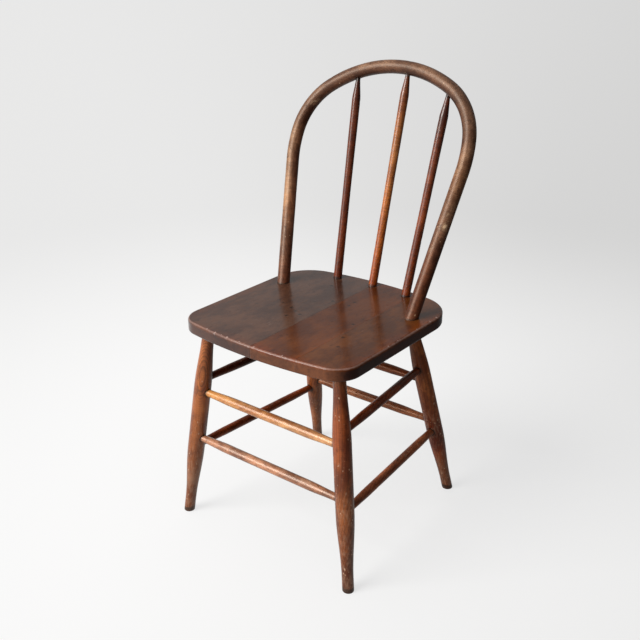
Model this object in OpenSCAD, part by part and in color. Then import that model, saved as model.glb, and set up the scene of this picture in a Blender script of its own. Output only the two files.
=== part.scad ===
// A worn wooden side chair. The plank seat is glued up from three boards, four splayed turned legs
// and eight stretchers carry it, and a bent hoop with three turned spindles makes the back.
// Left and right are as seen from the front. The front of the chair faces -Y.
// The origin is on the floor, under the middle of the chair's outer box.

/* [Seat] */
// Width of the seat
seat_w = 396; // [330:1:480]
// Depth of the seat, from its front edge to its back edge
seat_d = 409; // [340:1:495]
// Height of the top of the seat above the floor
seat_h = 450; // [375:1:540]
// Thickness of the seat
seat_t = 25; // [20:1:34]
// Radius of each front corner of the seat
front_corner_r = 50; // [35:1:70]
// Radius of each back corner of the seat
back_corner_r = 85; // [60:1:105]
// Radius of the bow in the front edge
front_bow_r = 1000; // [700:10:1500]
// Radius of the bow in the back edge
back_bow_r = 710; // [550:10:1500]
// Rounding of the upper edge of the seat
top_round = 5; // [2:0.5:8]
// Rounding of the lower edge of the seat
bottom_round = 2.5; // [1:0.5:5]
// Place of the left glue line, measured from the centre line
middle_board_x = 0; // [-40:1:4]
// Width of the middle board
middle_board_w = 99; // [95:1:104]
// Thickness of each glue line
glue_line = 0.1; // [0.05:0.05:0.2]

/* [Legs] */
// Largest diameter of a leg
leg_d = 35; // [30:0.5:42]
// Diameter of a leg at the floor
leg_foot_d = 22.5; // [18:0.5:27]
// Diameter of a leg where it enters the seat
leg_top_d = 24; // [20:0.5:29]
// Length of the straight foot
leg_foot_straight = 30; // [15:1:45]
// Length of the lower taper, from the foot to the full diameter
leg_lower_taper = 130; // [100:1:145]
// Length of the upper taper, from the full diameter to the neck
leg_upper_taper = 120; // [80:1:130]
// Length of the straight neck below the seat
leg_neck = 15; // [5:1:30]
// Depth to which a leg is let into the seat
leg_let_in = 17; // [12:0.5:18]
// Distance from the side of the seat to the top of a front leg
front_leg_side_inset = 40.4; // [36:0.1:60]
// Distance from the front of the seat to the top of a front leg
front_leg_inset = 56.3; // [45:0.1:80]
// Distance from the side of the seat to the top of a back leg
back_leg_side_inset = 69.5; // [60:0.1:80]
// Distance from the back of the seat to the top of a back leg
back_leg_inset = 78.3; // [70:0.1:90]
// Sideways splay of the front legs
front_leg_splay = 7; // [2:0.1:12]
// Forward rake of the front legs
front_leg_rake = 4.8; // [1:0.1:10]
// Sideways splay of the back legs
back_leg_splay = 7.3; // [2:0.1:12]
// Backward rake of the back legs
back_leg_rake = 13.2; // [5:0.1:18]

/* [Stretchers] */
// Diameter of the two front stretchers
front_stretcher_d = 19; // [15.5:0.5:23]
// Diameter of the four side stretchers
side_stretcher_d = 17.6; // [15.5:0.1:22]
// Diameter of the two back stretchers
back_stretcher_d = 19.4; // [15.5:0.1:23]
// Diameter of a stretcher where it enters a leg
stretcher_end_d = 15.2; // [12:0.1:15.4]
// Length of the taper at each end of a stretcher
stretcher_taper = 60; // [30:1:80]
// Length of the straight end that shows outside a leg
stretcher_collar = 6; // [4:0.5:10]
// How far a stretcher reaches past the middle of a leg
stretcher_reach = 5; // [0:0.5:7]
// Height of the upper front stretcher
front_upper_h = 286; // [280:1:290]
// Height of the lower front stretcher
front_lower_h = 181; // [178:1:200]
// Height of the upper side stretchers
side_upper_h = 311.5; // [308:0.5:320]
// Height of the lower side stretchers
side_lower_h = 158.8; // [120:0.2:160]
// Height of the upper back stretcher
back_upper_h = 282; // [270:1:290]
// Height of the lower back stretcher
back_lower_h = 180; // [178:1:200]

/* [Hoop] */
// Diameter of the hoop at its crown
hoop_d = 27.4; // [24:0.1:32]
// How much thinner each bend is than the one above it
hoop_step = 0.2; // [0.2:0.1:0.4]
// Rise from the seat to the crown, measured along the plane of the hoop
hoop_rise = 478; // [400:1:575]
// Backward tilt of the plane of the hoop
hoop_tilt = 24.9; // [15:0.1:30]
// Lean of the whole hoop to the left, in its own plane
hoop_lean = 4.4; // [0:0.1:8]
// Distance from the back of the seat to the foot of the hoop
hoop_inset = 122.2; // [110:0.1:140]
// Distance from the side of the seat to each foot of the hoop
hoop_side_inset = 38.3; // [30:0.1:45]
// Sweep of the crown to each side of the middle
crown_sweep = 32.3; // [25:0.1:40]
// Radius of each shoulder
shoulder_r = 136; // [110:1:165]
// Sweep of each shoulder
shoulder_sweep = 52.2; // [45:0.1:55]
// Radius of the bend below each shoulder
side_r = 250; // [200:1:300]
// Angle at which the straight sides run in towards the seat
toe_in = 8.8; // [5:0.1:11]

/* [Spindles] */
// Diameter of a spindle at the seat
spindle_base_d = 18.2; // [15:0.1:21]
// Diameter of a spindle at its waist
spindle_waist_d = 17; // [14:0.1:20]
// Diameter of a spindle at its upper shoulder
spindle_shoulder_d = 17.8; // [15:0.1:21]
// Diameter of a spindle where it enters the hoop
spindle_tip_d = 9.4; // [7:0.1:12]
// Length of the cone at the top of a spindle
spindle_cone = 38; // [25:1:60]
// Length of the thin neck that shows between that cone and the hoop
spindle_neck = 1; // [0.5:0.5:5]
// How far a spindle reaches past the middle of the hoop
spindle_reach = 4; // [0:0.5:6]
// Depth to which a spindle is let into the seat
spindle_let_in = 17; // [12:0.5:18]
// Distance of the outer spindles from the centre line, at the seat
spindle_spread = 86.4; // [80:0.1:88]
// Distance from the back of the seat to the outer spindles
outer_spindle_inset = 31.3; // [25:0.1:40]
// Distance from the back of the seat to the middle spindle
middle_spindle_inset = 24.4; // [20:0.1:35]
// Angle round the crown at which the left spindle enters the hoop
left_spindle_turn = -16.9; // [-25:0.1:-12]
// Angle round the crown at which the middle spindle enters the hoop
middle_spindle_turn = 8.9; // [0:0.1:15]
// Angle round the crown at which the right spindle enters the hoop
right_spindle_turn = 32.2; // [25:0.1:32.3]

/* [Fit] */
// Gap all round between a tenon and its socket
glue_gap = 0.05; // [0.02:0.01:0.1]
// Space left at the blind end of a socket
end_gap = 0.5; // [0.2:0.1:1]

/* [Hidden] */

LEFT = -1;
RIGHT = 1;
FRONT = -1;
BACK = 1;

DARK_BOARD = [0.25, 0.18, 0.15];
RED_BOARD = [0.33, 0.19, 0.14];
WARM_BOARD = [0.36, 0.22, 0.15];
LEG_BROWN = [0.42, 0.21, 0.12];
AMBER = [0.58, 0.33, 0.16];
DARK_BROWN = [0.27, 0.12, 0.08];
GREY_BROWN = [0.38, 0.29, 0.24];

ROD_FN = 48;
$fn = ROD_FN;
BOW_STEPS = 8;
CORNER_STEPS = 10;
ROUND_STEP = 30;
TAPER_STEPS = 10;
BEND_FN = 96;
BEND_LAP = 1;
SEAM_TURN = 45;
PLACES = [-1, 0, 1];

seat_bottom = seat_h - seat_t;
half_w = seat_w / 2;
half_d = seat_d / 2;

// ---- Seat outline ----

// A quarter of the outline, from the side to the middle of the edge: a corner arc that runs
// smoothly into the bow of the edge.
function quarter(w, d, corner_r, bow_r) =
    let (
        corner_x = w - corner_r,
        bow_y = d - bow_r,
        corner_y = bow_y + sqrt(pow(bow_r - corner_r, 2) - pow(corner_x, 2)),
        join = atan2(corner_y - bow_y, corner_x)
    )
    concat(
        [for (i = [0:CORNER_STEPS])
            let (a = join * i / CORNER_STEPS)
            [corner_x + corner_r * cos(a), corner_y + corner_r * sin(a)]],
        [for (i = [1:BOW_STEPS])
            let (a = join + (90 - join) * i / BOW_STEPS)
            [bow_r * cos(a), bow_y + bow_r * sin(a)]]
    );

// The same quarter with its mirror image after it, which shares only the middle point.
function edge(q) = concat(q, [for (i = [len(q) - 2:-1:0]) [-q[i].x, q[i].y]]);

// The outline of the seat, drawn in by an inset all round.
function outline(inset) =
    let (
        w = half_w - inset,
        d = half_d - inset,
        back = edge(quarter(w, d, back_corner_r - inset, back_bow_r - inset)),
        front = edge(quarter(w, d, front_corner_r - inset, front_bow_r - inset))
    )
    concat(back, [for (p = front) [-p.x, -p.y]]);

// The next point past the second of two, at the same distance again.
function beyond(a, b) = 2 * b - a;

// Inset and height of each level of the seat's rounded wall. The wall runs on past both faces, which
// are then cut flat.
function seat_levels() =
    let (
        lower = [for (a = [0:ROUND_STEP:90]) bottom_round * [1 - sin(a), 1 - cos(a)]],
        upper = [for (a = [0:ROUND_STEP:90]) [0, seat_t] + top_round * [1 - cos(a), sin(a) - 1]],
        last = len(upper) - 1
    )
    concat(
        [beyond(lower[1], lower[0])],
        [for (i = [1:last]) lower[i]],
        [for (i = [0:last - 1]) upper[i]],
        [beyond(upper[last - 1], upper[last])]
    );

module seat_blank() {
    levels = seat_levels();
    rings = [for (level = levels) [for (p = outline(level.x)) [p.x, p.y, seat_bottom + level.y]]];
    count = len(rings[0]);
    last = len(rings) - 1;
    walls = [for (k = [0:last - 1]) for (i = [0:count - 1])
        let (j = (i + 1) % count)
        [k * count + i, (k + 1) * count + i, (k + 1) * count + j, k * count + j]];
    lower_face = [for (i = [0:count - 1]) i];
    upper_face = [for (i = [count - 1:-1:0]) last * count + i];
    polyhedron(points = [for (ring = rings) each ring], faces = concat(walls, [lower_face, upper_face]));
}

// ---- Legs ----

function side_inset(end) = end == FRONT ? front_leg_side_inset : back_leg_side_inset;
function end_inset(end) = end == FRONT ? front_leg_inset : back_leg_inset;
function splay(end) = end == FRONT ? front_leg_splay : back_leg_splay;
function rake(end) = end == FRONT ? front_leg_rake : back_leg_rake;

// The point on a leg's centre line at a height above the floor.
function leg_at(side, end, h) = [
    side * (half_w - side_inset(end) + (seat_bottom - h) * tan(splay(end))),
    end * (half_d - end_inset(end) + (seat_bottom - h) * tan(rake(end))),
    h,
];

// A smooth step from 0 to 1.
function ease(t) = (1 - cos(180 * max(0, min(1, t)))) / 2;

// The radius of a leg at a distance along it from the floor.
function leg_radius(s, length) =
    leg_foot_d / 2
    + (leg_d - leg_foot_d) / 2 * ease((s - leg_foot_straight) / leg_lower_taper)
    - (leg_d - leg_top_d) / 2 * ease((s - (length - leg_neck - leg_upper_taper)) / leg_upper_taper);

// Puts the children's Z axis on the line from one point to another, starting at the first. The turn
// about that axis keeps the seam of a round surface clear of the glue lines.
module along(from, to) {
    v = to - from;
    translate(from) rotate([0, acos(v.z / norm(v)), atan2(v.y, v.x)]) rotate([0, 0, SEAM_TURN]) children();
}

// A turned piece from its profile, a list of distances along its axis with the radius at each.
module turned(profile) {
    last = len(profile) - 1;
    rotate_extrude()
        polygon(concat(
            [[0, profile[0].x]],
            [for (p = profile) [p.y, p.x]],
            [[0, profile[last].x]]
        ));
}

module leg_blank(side, end) {
    foot = leg_at(side, end, 0);
    top = leg_at(side, end, seat_bottom);
    length = norm(top - foot);
    upper_start = length - leg_neck - leg_upper_taper;
    lower = [for (i = [0:TAPER_STEPS]) leg_foot_straight + leg_lower_taper * i / TAPER_STEPS];
    upper = [for (i = [0:TAPER_STEPS]) upper_start + leg_upper_taper * i / TAPER_STEPS];
    below_floor = leg_d;
    stations = concat([-below_floor], lower, upper, [length + leg_let_in]);
    difference() {
        along(foot, top) turned([for (s = stations) [s, leg_radius(s, length)]]);
        translate([foot.x, foot.y, -2 * below_floor]) cube(4 * below_floor, center = true);
    }
}

module leg_socket(side, end) {
    top = leg_at(side, end, seat_bottom);
    axis = top - leg_at(side, end, 0);
    unit = axis / norm(axis);
    along(top - unit * leg_neck, top) cylinder(d = leg_top_d + 2 * glue_gap, h = leg_neck + leg_let_in + end_gap);
}

// ---- Stretchers ----

// The ends of the centre line of each stretcher, on the centre lines of its two legs.
function cross_ends(end, h) = [leg_at(LEFT, end, h), leg_at(RIGHT, end, h)];
function side_ends(side, h) = [leg_at(side, FRONT, h), leg_at(side, BACK, h)];

module stretcher(ends, d) {
    length = norm(ends[1] - ends[0]);
    start = leg_d / 2 + stretcher_collar;
    taper = [for (i = [0:TAPER_STEPS])
        let (t = i / TAPER_STEPS)
        [start + stretcher_taper * t, (stretcher_end_d + (d - stretcher_end_d) * ease(t)) / 2]];
    mirrored = [for (i = [TAPER_STEPS:-1:0]) [length - taper[i].x, taper[i].y]];
    end_r = stretcher_end_d / 2;
    along(ends[0], ends[1])
        turned(concat(
            [[-stretcher_reach, end_r]],
            taper,
            mirrored,
            [[length + stretcher_reach, end_r]]
        ));
}

// The two blind sockets that a stretcher needs, one in each of its legs.
module stretcher_sockets(ends) {
    for (k = [0, 1])
        along(ends[k], ends[1 - k])
            translate([0, 0, -stretcher_reach - end_gap])
                cylinder(d = stretcher_end_d + 2 * glue_gap, h = stretcher_reach + end_gap + leg_d);
}

module leg(side, end) {
    to_origin() color(LEG_BROWN) difference() {
        leg_blank(side, end);
        stretcher_sockets(cross_ends(end, end == FRONT ? front_upper_h : back_upper_h));
        stretcher_sockets(cross_ends(end, end == FRONT ? front_lower_h : back_lower_h));
        stretcher_sockets(side_ends(side, side_upper_h));
        stretcher_sockets(side_ends(side, side_lower_h));
    }
}

// ---- Hoop ----

// Angles are counted from the top of the hoop, round to one side.
shoulder_end = crown_sweep + shoulder_sweep;
side_end = 90 + toe_in;
foot_u = half_w - hoop_side_inset;
hoop_y = half_d - hoop_inset;

// The crown's radius is the one that brings each foot of the hoop to its place in the seat.
bend_out = shoulder_r * (sin(shoulder_end) - sin(crown_sweep)) + side_r * (sin(side_end) - sin(shoulder_end));
bend_down = shoulder_r * (cos(crown_sweep) - cos(shoulder_end)) + side_r * (cos(shoulder_end) - cos(side_end));
toe_slope = cos(side_end) / sin(side_end);
crown_r = (foot_u - bend_out - (hoop_rise - bend_down) * toe_slope)
    / (sin(crown_sweep) - (1 - cos(crown_sweep)) * toe_slope);

// Centres of the bends, across and up in the plane of the hoop, on the right-hand side.
crown_centre = [0, hoop_rise - crown_r];
shoulder_centre = crown_centre + (crown_r - shoulder_r) * [sin(crown_sweep), cos(crown_sweep)];
side_centre = shoulder_centre + (shoulder_r - side_r) * [sin(shoulder_end), cos(shoulder_end)];
side_foot = side_centre + side_r * [sin(side_end), cos(side_end)];
past_seat = 4 * seat_t;
straight_length = side_foot.y / sin(side_end) + past_seat;

// The hoop gets thinner by a small step at each joint between bends.
shoulder_d = hoop_d - hoop_step;
side_d = shoulder_d - hoop_step;
hoop_foot_d = side_d - hoop_step;

// The angle by which a bend of a given radius runs back into the thicker one above it.
function lap(r) = BEND_LAP / r * 180 / PI;

// A point of the hoop's plane, given across and up in that plane, in the chair's own axes.
function in_space(p) =
    let (
        across = p.x * cos(hoop_lean) - p.y * sin(hoop_lean),
        up = p.x * sin(hoop_lean) + p.y * cos(hoop_lean)
    )
    [across, hoop_y + up * sin(hoop_tilt), seat_h + up * cos(hoop_tilt)];

module in_hoop_plane() {
    translate([0, hoop_y, seat_h])
        rotate([-hoop_tilt, 0, 0])
            rotate([0, -hoop_lean, 0])
                children();
}

// A bend of the hoop, from one angle to a larger one.
module bend(centre, r, d, from, to) {
    translate([centre.x, 0, centre.y])
        rotate([90, 0, 0])
            rotate([0, 0, 90 - to])
                rotate_extrude(angle = to - from, $fn = BEND_FN)
                    translate([r, 0])
                        circle(d = d, $fn = ROD_FN);
}

// The straight lower end of one side of the hoop, or the bore for it.
module hoop_foot(d) {
    translate([side_foot.x, 0, side_foot.y])
        rotate([0, 90 + side_end, 0])
            translate([0, 0, -BEND_LAP])
                cylinder(d = d, h = straight_length + BEND_LAP);
}

module hoop_side() {
    bend(shoulder_centre, shoulder_r, shoulder_d, crown_sweep - lap(shoulder_r), shoulder_end);
    bend(side_centre, side_r, side_d, shoulder_end - lap(side_r), side_end);
    hoop_foot(hoop_foot_d);
}

module hoop_bores() {
    in_hoop_plane() {
        hoop_foot(hoop_foot_d + 2 * glue_gap);
        mirror([1, 0, 0]) hoop_foot(hoop_foot_d + 2 * glue_gap);
    }
}

// ---- Spindles ----

function spindle_base(place) = [
    place * spindle_spread,
    half_d - (place == 0 ? middle_spindle_inset : outer_spindle_inset),
    seat_h,
];

function spindle_turn(place) =
    place == 0 ? middle_spindle_turn : place < 0 ? left_spindle_turn : right_spindle_turn;

function spindle_top(place) =
    in_space(crown_centre + crown_r * [sin(spindle_turn(place)), cos(spindle_turn(place))]);

// The length of a spindle's neck, from where it shows to the middle of the hoop. A spindle that meets
// the hoop at a slant has more of it inside the hoop.
function neck_length(place) =
    let (
        turn = spindle_turn(place),
        axis = spindle_top(place) - spindle_base(place),
        along_hoop = in_space([cos(turn), -sin(turn)]) - in_space([0, 0]),
        slant = norm(cross(axis, along_hoop)) / norm(axis),
        skew = abs(axis * along_hoop) / norm(axis)
    )
    spindle_neck + (hoop_d + spindle_tip_d * skew) / 2 / slant;

module spindle(place) {
    base = spindle_base(place);
    top = spindle_top(place);
    length = norm(top - base);
    neck = length - neck_length(place);
    shoulder = neck - spindle_cone;
    along(base, top)
        turned(concat(
            [[-spindle_let_in, spindle_base_d / 2]],
            [for (i = [0:TAPER_STEPS])
                let (t = i / TAPER_STEPS)
                [shoulder / 2 * t, (spindle_base_d + (spindle_waist_d - spindle_base_d) * ease(t)) / 2]],
            [for (i = [1:TAPER_STEPS])
                let (t = i / TAPER_STEPS)
                [shoulder / 2 * (1 + t), (spindle_waist_d + (spindle_shoulder_d - spindle_waist_d) * ease(t)) / 2]],
            [[neck, spindle_tip_d / 2], [length + spindle_reach, spindle_tip_d / 2]]
        ));
}

module spindle_seat_bore(place) {
    base = spindle_base(place);
    along(base, spindle_top(place))
        translate([0, 0, -spindle_let_in - end_gap])
            cylinder(d = spindle_base_d + 2 * glue_gap, h = spindle_let_in + end_gap + seat_t);
}

module spindle_hoop_bore(place) {
    top = spindle_top(place);
    along(top, spindle_base(place))
        translate([0, 0, -spindle_reach - end_gap])
            cylinder(d = spindle_tip_d + 2 * glue_gap, h = spindle_reach + end_gap + hoop_d);
}

// ---- Place of the origin ----

// How far the sloping round foot of a leg reaches past its middle, across [x] and along [y].
function foot_reach(end) =
    let (
        axis = leg_at(RIGHT, end, seat_bottom) - leg_at(RIGHT, end, 0),
        unit = axis / norm(axis)
    )
    leg_foot_d / 2 / unit.z * [sqrt(1 - pow(unit.y, 2)), sqrt(1 - pow(unit.x, 2))];

// The outermost bend on the left, which is a different one when the hoop leans further.
left_in_side = 90 - hoop_lean > shoulder_end;
left_centre = left_in_side ? side_centre : shoulder_centre;
left_r = left_in_side ? side_r : shoulder_r;
left_d = left_in_side ? side_d : shoulder_d;
hoop_left = -left_centre.x * cos(hoop_lean) - left_centre.y * sin(hoop_lean) - left_r - left_d / 2;
hoop_back = hoop_y + (crown_centre.y * cos(hoop_lean) + crown_r) * sin(hoop_tilt) + hoop_d / 2;
feet_x = leg_at(RIGHT, FRONT, 0).x + foot_reach(FRONT).x;
front_feet_y = leg_at(RIGHT, FRONT, 0).y - foot_reach(FRONT).y;
back_feet_y = leg_at(RIGHT, BACK, 0).y + foot_reach(BACK).y;
box_x = [min(hoop_left, -feet_x, -half_w), max(feet_x, half_w)];
box_y = [min(-half_d, front_feet_y), max(hoop_back, back_feet_y)];

module to_origin() {
    translate([-(box_x[0] + box_x[1]) / 2, -(box_y[0] + box_y[1]) / 2, 0]) children();
}

// ---- The pieces ----

module seat_board(from_x, to_x) {
    intersection() {
        difference() {
            seat_blank();
            for (side = [LEFT, RIGHT]) for (end = [FRONT, BACK]) leg_socket(side, end);
            hoop_bores();
            for (place = PLACES) spindle_seat_bore(place);
        }
        translate([from_x, -seat_d, seat_bottom]) cube([to_x - from_x, 2 * seat_d, seat_t]);
    }
}

left_joint = middle_board_x;
right_joint = middle_board_x + middle_board_w;

module seat_board_left() {
    to_origin() color(DARK_BOARD) seat_board(-seat_w, left_joint - glue_line / 2);
}

module seat_board_middle() {
    to_origin() color(RED_BOARD) seat_board(left_joint + glue_line / 2, right_joint - glue_line / 2);
}

module seat_board_right() {
    to_origin() color(WARM_BOARD) seat_board(right_joint + glue_line / 2, seat_w);
}

module leg_front_left() { leg(LEFT, FRONT); }
module leg_front_right() { leg(RIGHT, FRONT); }
module leg_back_left() { leg(LEFT, BACK); }
module leg_back_right() { leg(RIGHT, BACK); }

module stretcher_front_upper() {
    to_origin() color(AMBER) stretcher(cross_ends(FRONT, front_upper_h), front_stretcher_d);
}

module stretcher_front_lower() {
    to_origin() color(AMBER) stretcher(cross_ends(FRONT, front_lower_h), front_stretcher_d);
}

module stretcher_back_upper() {
    to_origin() color(DARK_BROWN) stretcher(cross_ends(BACK, back_upper_h), back_stretcher_d);
}

module stretcher_back_lower() {
    to_origin() color(DARK_BROWN) stretcher(cross_ends(BACK, back_lower_h), back_stretcher_d);
}

module stretcher_left_upper() {
    to_origin() color(DARK_BROWN) stretcher(side_ends(LEFT, side_upper_h), side_stretcher_d);
}

module stretcher_left_lower() {
    to_origin() color(DARK_BROWN) stretcher(side_ends(LEFT, side_lower_h), side_stretcher_d);
}

module stretcher_right_upper() {
    to_origin() color(DARK_BROWN) stretcher(side_ends(RIGHT, side_upper_h), side_stretcher_d);
}

module stretcher_right_lower() {
    to_origin() color(DARK_BROWN) stretcher(side_ends(RIGHT, side_lower_h), side_stretcher_d);
}

module back_hoop() {
    to_origin() color(GREY_BROWN) difference() {
        in_hoop_plane() union() {
            bend(crown_centre, crown_r, hoop_d, -crown_sweep, crown_sweep);
            hoop_side();
            mirror([1, 0, 0]) hoop_side();
        }
        translate([-seat_w, -seat_d, seat_bottom - 2 * seat_d]) cube(2 * [seat_w, seat_d, seat_d]);
        for (place = PLACES) spindle_hoop_bore(place);
    }
}

module spindle_left() { to_origin() color(LEG_BROWN) spindle(-1); }
module spindle_middle() { to_origin() color(AMBER) spindle(0); }
module spindle_right() { to_origin() color(LEG_BROWN) spindle(1); }

seat_board_left();
seat_board_middle();
seat_board_right();
leg_front_left();
leg_front_right();
leg_back_left();
leg_back_right();
stretcher_front_upper();
stretcher_front_lower();
stretcher_back_upper();
stretcher_back_lower();
stretcher_left_upper();
stretcher_left_lower();
stretcher_right_upper();
stretcher_right_lower();
back_hoop();
spindle_left();
spindle_middle();
spindle_right();
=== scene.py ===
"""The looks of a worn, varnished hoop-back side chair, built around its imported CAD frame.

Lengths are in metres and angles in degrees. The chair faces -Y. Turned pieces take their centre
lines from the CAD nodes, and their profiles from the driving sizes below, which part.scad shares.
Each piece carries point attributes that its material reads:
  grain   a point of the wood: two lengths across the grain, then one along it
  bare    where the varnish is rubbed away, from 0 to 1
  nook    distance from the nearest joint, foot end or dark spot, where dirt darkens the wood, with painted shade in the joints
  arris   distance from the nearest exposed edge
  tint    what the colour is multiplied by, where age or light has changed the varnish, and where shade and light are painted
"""

import math
import random
from dataclasses import dataclass, replace

import bmesh
import bpy
import numpy as np
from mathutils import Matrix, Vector, noise
from mathutils.geometry import delaunay_2d_cdt


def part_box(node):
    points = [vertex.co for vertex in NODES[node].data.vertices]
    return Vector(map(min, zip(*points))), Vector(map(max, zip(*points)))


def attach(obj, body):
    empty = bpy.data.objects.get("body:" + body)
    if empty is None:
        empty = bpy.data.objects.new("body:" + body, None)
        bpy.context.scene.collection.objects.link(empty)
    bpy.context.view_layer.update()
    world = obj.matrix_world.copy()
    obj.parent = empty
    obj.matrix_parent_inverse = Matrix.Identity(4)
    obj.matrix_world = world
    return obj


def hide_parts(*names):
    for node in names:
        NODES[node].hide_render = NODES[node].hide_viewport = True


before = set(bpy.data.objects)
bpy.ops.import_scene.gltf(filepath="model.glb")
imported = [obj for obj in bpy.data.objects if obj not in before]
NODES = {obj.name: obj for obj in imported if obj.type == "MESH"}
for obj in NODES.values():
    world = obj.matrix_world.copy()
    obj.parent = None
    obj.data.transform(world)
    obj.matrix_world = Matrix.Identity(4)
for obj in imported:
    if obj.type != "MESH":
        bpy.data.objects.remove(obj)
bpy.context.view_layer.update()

MM = 0.001

# ---- Driving sizes, as in part.scad ----

SEAT_W, SEAT_D, SEAT_H, SEAT_T = 0.396, 0.409, 0.450, 0.025
FRONT_CORNER_R, BACK_CORNER_R = 0.050, 0.085
FRONT_BOW_R, BACK_BOW_R = 1.000, 0.710
TOP_ROUND, BOTTOM_ROUND = 0.005, 0.0025
LEFT_JOINT, RIGHT_JOINT, GLUE_LINE = 0.0, 0.099, 0.0001

LEG_D, LEG_FOOT_D, LEG_TOP_D = 0.035, 0.0225, 0.024
LEG_FOOT_STRAIGHT, LEG_LOWER_TAPER, LEG_UPPER_TAPER, LEG_NECK = 0.030, 0.130, 0.120, 0.015
LEG_LET_IN = 0.017

STRETCHER_D = {"front": 0.019, "back": 0.0194, "left": 0.0176, "right": 0.0176}
STRETCHER_END_D, STRETCHER_TAPER, STRETCHER_COLLAR, STRETCHER_REACH = 0.0152, 0.060, 0.006, 0.005

HOOP_D, HOOP_FOOT_D = 0.0274, 0.0268
HOOP_RISE, HOOP_TILT, HOOP_LEAN = 0.478, 24.9, 4.4
HOOP_INSET, HOOP_SIDE_INSET = 0.1222, 0.0383
CROWN_SWEEP, SHOULDER_SWEEP, TOE_IN = 32.3, 52.2, 8.8
SHOULDER_R, SIDE_R = 0.136, 0.250

SPINDLE_BASE_D, SPINDLE_WAIST_D, SPINDLE_SHOULDER_D, SPINDLE_TIP_D = 0.0182, 0.017, 0.0178, 0.0094
SPINDLE_CONE, SPINDLE_LET_IN = 0.038, 0.017

# ---- Sizes of the meshes and of their wear ----

ROUND_STEPS = 48
ROD_STEP, TIP_STEP = 0.0022, 0.0015
FOOT_ROUND = 0.0018
FOOT_RINGS = (0, 0.0004, 0.0009, 0.0018, 0.003)
FOOT_RINGS_END = 0.005
WALL_STEP, WALL_RISE = 0.0016, 0.0025
TOP_ROUND_RINGS, BOTTOM_ROUND_RINGS = 8, 5
TOP_STEP = 0.0030
TOP_RINGS = 3
BESIDE_JOINT = 0.0015
CLOSE_TO_LOOP = 0.7 * TOP_STEP
GROOVE_W, GROOVE_DEPTH = 0.0006, 0.00018
FOOT_BAND = 0.009
FAR = 1.0
BATCH = 4000
# A spindle's shoulder is found as the highest corner this far out, as a share of its diameter.
SHOULDER_OUT = 0.48
# The share of a spindle's cone that narrows evenly. The rest is eased.
CONE_STRAIGHT = 0.75
# The hoop runs this many thicknesses down past the seat's top, and is then cut just below the seat.
HOOP_PAST_SEAT = 2.5
HOOP_END_BELOW_SEAT = 0.0002

# Marks are noise: features to the metre, a shift that sets them apart, and where they start and are full.
DENTS, DENT_DEPTH = (95, 7, 0.45, 0.75), 0.0003
TOP_DENTS, TOP_DENT_DEPTH = (120, 2, 0.45, 0.70), 0.00025
NICKS, NICK_PATCHES = (170, 4, 0.42, 0.70), (17, 9, 0.10, 0.50)
NICK_INWARD, NICK_DOWN, NICK_REACH = 0.0011, 0.0009, 0.006
# Waves, patches and drifts are noise too: an amount, features to the metre and a shift.
ROD_WAVE, TOP_WAVE = (0.00012, 28, 0), (0.0003, 9, 1)
SEAT_PATCHES, SEAT_DRIFT = (0.5, 11, 3), (0.15, 13, 6)
PATCHES = {"leg": (0.35, 14, 3), "stretcher": (0.3, 16, 5), "spindle": (0.45, 18, 5), "back": (0.3, 15, 5)}
DRIFTS = {"leg": (0.22, 13, 6), "stretcher": (0.25, 13, 6), "spindle": (0.15, 13, 6), "back": (0.15, 13, 6)}
# Depths under the top, and the share of its rounding that counts as its arris.
TOP_FACE, ARRIS_SHARE = (0.003, 0.0005), 0.3

# How far legs, feet and hands have rubbed the varnish away.
SHIN_RUB, SHIN_HEIGHTS = 0.65, (0.34, 0.10)
TREAD = {"front": 0.8, "back": 0.15, "left": 0.3, "right": 0.3, "lower": 0.9, "upper": 0.45}
TREAD_FROM_ENDS = (0.02, 0.10)
SPINDLE_FRONT_RUB = 0.15

# ---- Stains and tints ----

# Stains, each as the factor that it puts on the wood's colour. Some paint shade, and one a highlight, as
# noted where they lie.
GRIME_AND_SHADE = (0.55, 0.50, 0.48)
DEEP_RED = (0.80, 0.40, 0.20)
AMBER = (1.1, 0.8, 0.2)
# The pale of a painted highlight.
HIGHLIGHT_PALENESS = (1.1, 1.4, 2.2)
RUBBED = (1.5, 1.6, 1.5)
BLEACHED = (3.0, 3.0, 2.5)
DARKEST_STAIN = 0.08
# Where each stain lies: its middle, its reach, the stain and its strength.
# Legs go by height above the floor.
# Each leg is darker towards its foot, from foot grime and painted shade. The front right leg is also darker
# below the seat, painted shade there.
LEG_STAINS = {
    "leg_front_left": ((0.00, 0.12, GRIME_AND_SHADE, 0.8), (0.30, 0.10, RUBBED, 0.5)),
    "leg_front_right": ((0.00, 0.15, GRIME_AND_SHADE, 1.0), (0.32, 0.08, DEEP_RED, 0.5), (0.32, 0.08, GRIME_AND_SHADE, 0.5)),
    "leg_back_left": ((0.00, 0.15, GRIME_AND_SHADE, 0.6),),
    "leg_back_right": ((0.00, 0.12, GRIME_AND_SHADE, 1.2), (0.14, 0.06, DEEP_RED, 1.0), (0.34, 0.06, RUBBED, 0.5)),
}
# Stretchers go by share of their length, and only the front ones are stained.
STRETCHER_STAINS = {
    "stretcher_front_upper": ((0.0, 0.5, AMBER, 0.6),),
    "stretcher_front_lower": ((1.0, 0.35, GRIME_AND_SHADE, 0.7),),
}
# Spindles go by share of their height: amber and little handled low down, darker under the hoop.
SPINDLE_FOOT_STAIN = (0.0, 0.40, AMBER, 1.0)
SPINDLE_TOP_STAIN = (1.0, 0.20, GRIME_AND_SHADE, 1.0)
SPINDLE_STAINS = {
    "spindle_left": ((0.5, 0.5, GRIME_AND_SHADE, 0.4),),
    # The middle spindle's pale band is a painted highlight.
    "spindle_middle": ((0.6, 0.25, HIGHLIGHT_PALENESS, 0.8),),
    "spindle_right": ((0.35, 0.1, RUBBED, 1.0),),
}
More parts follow.
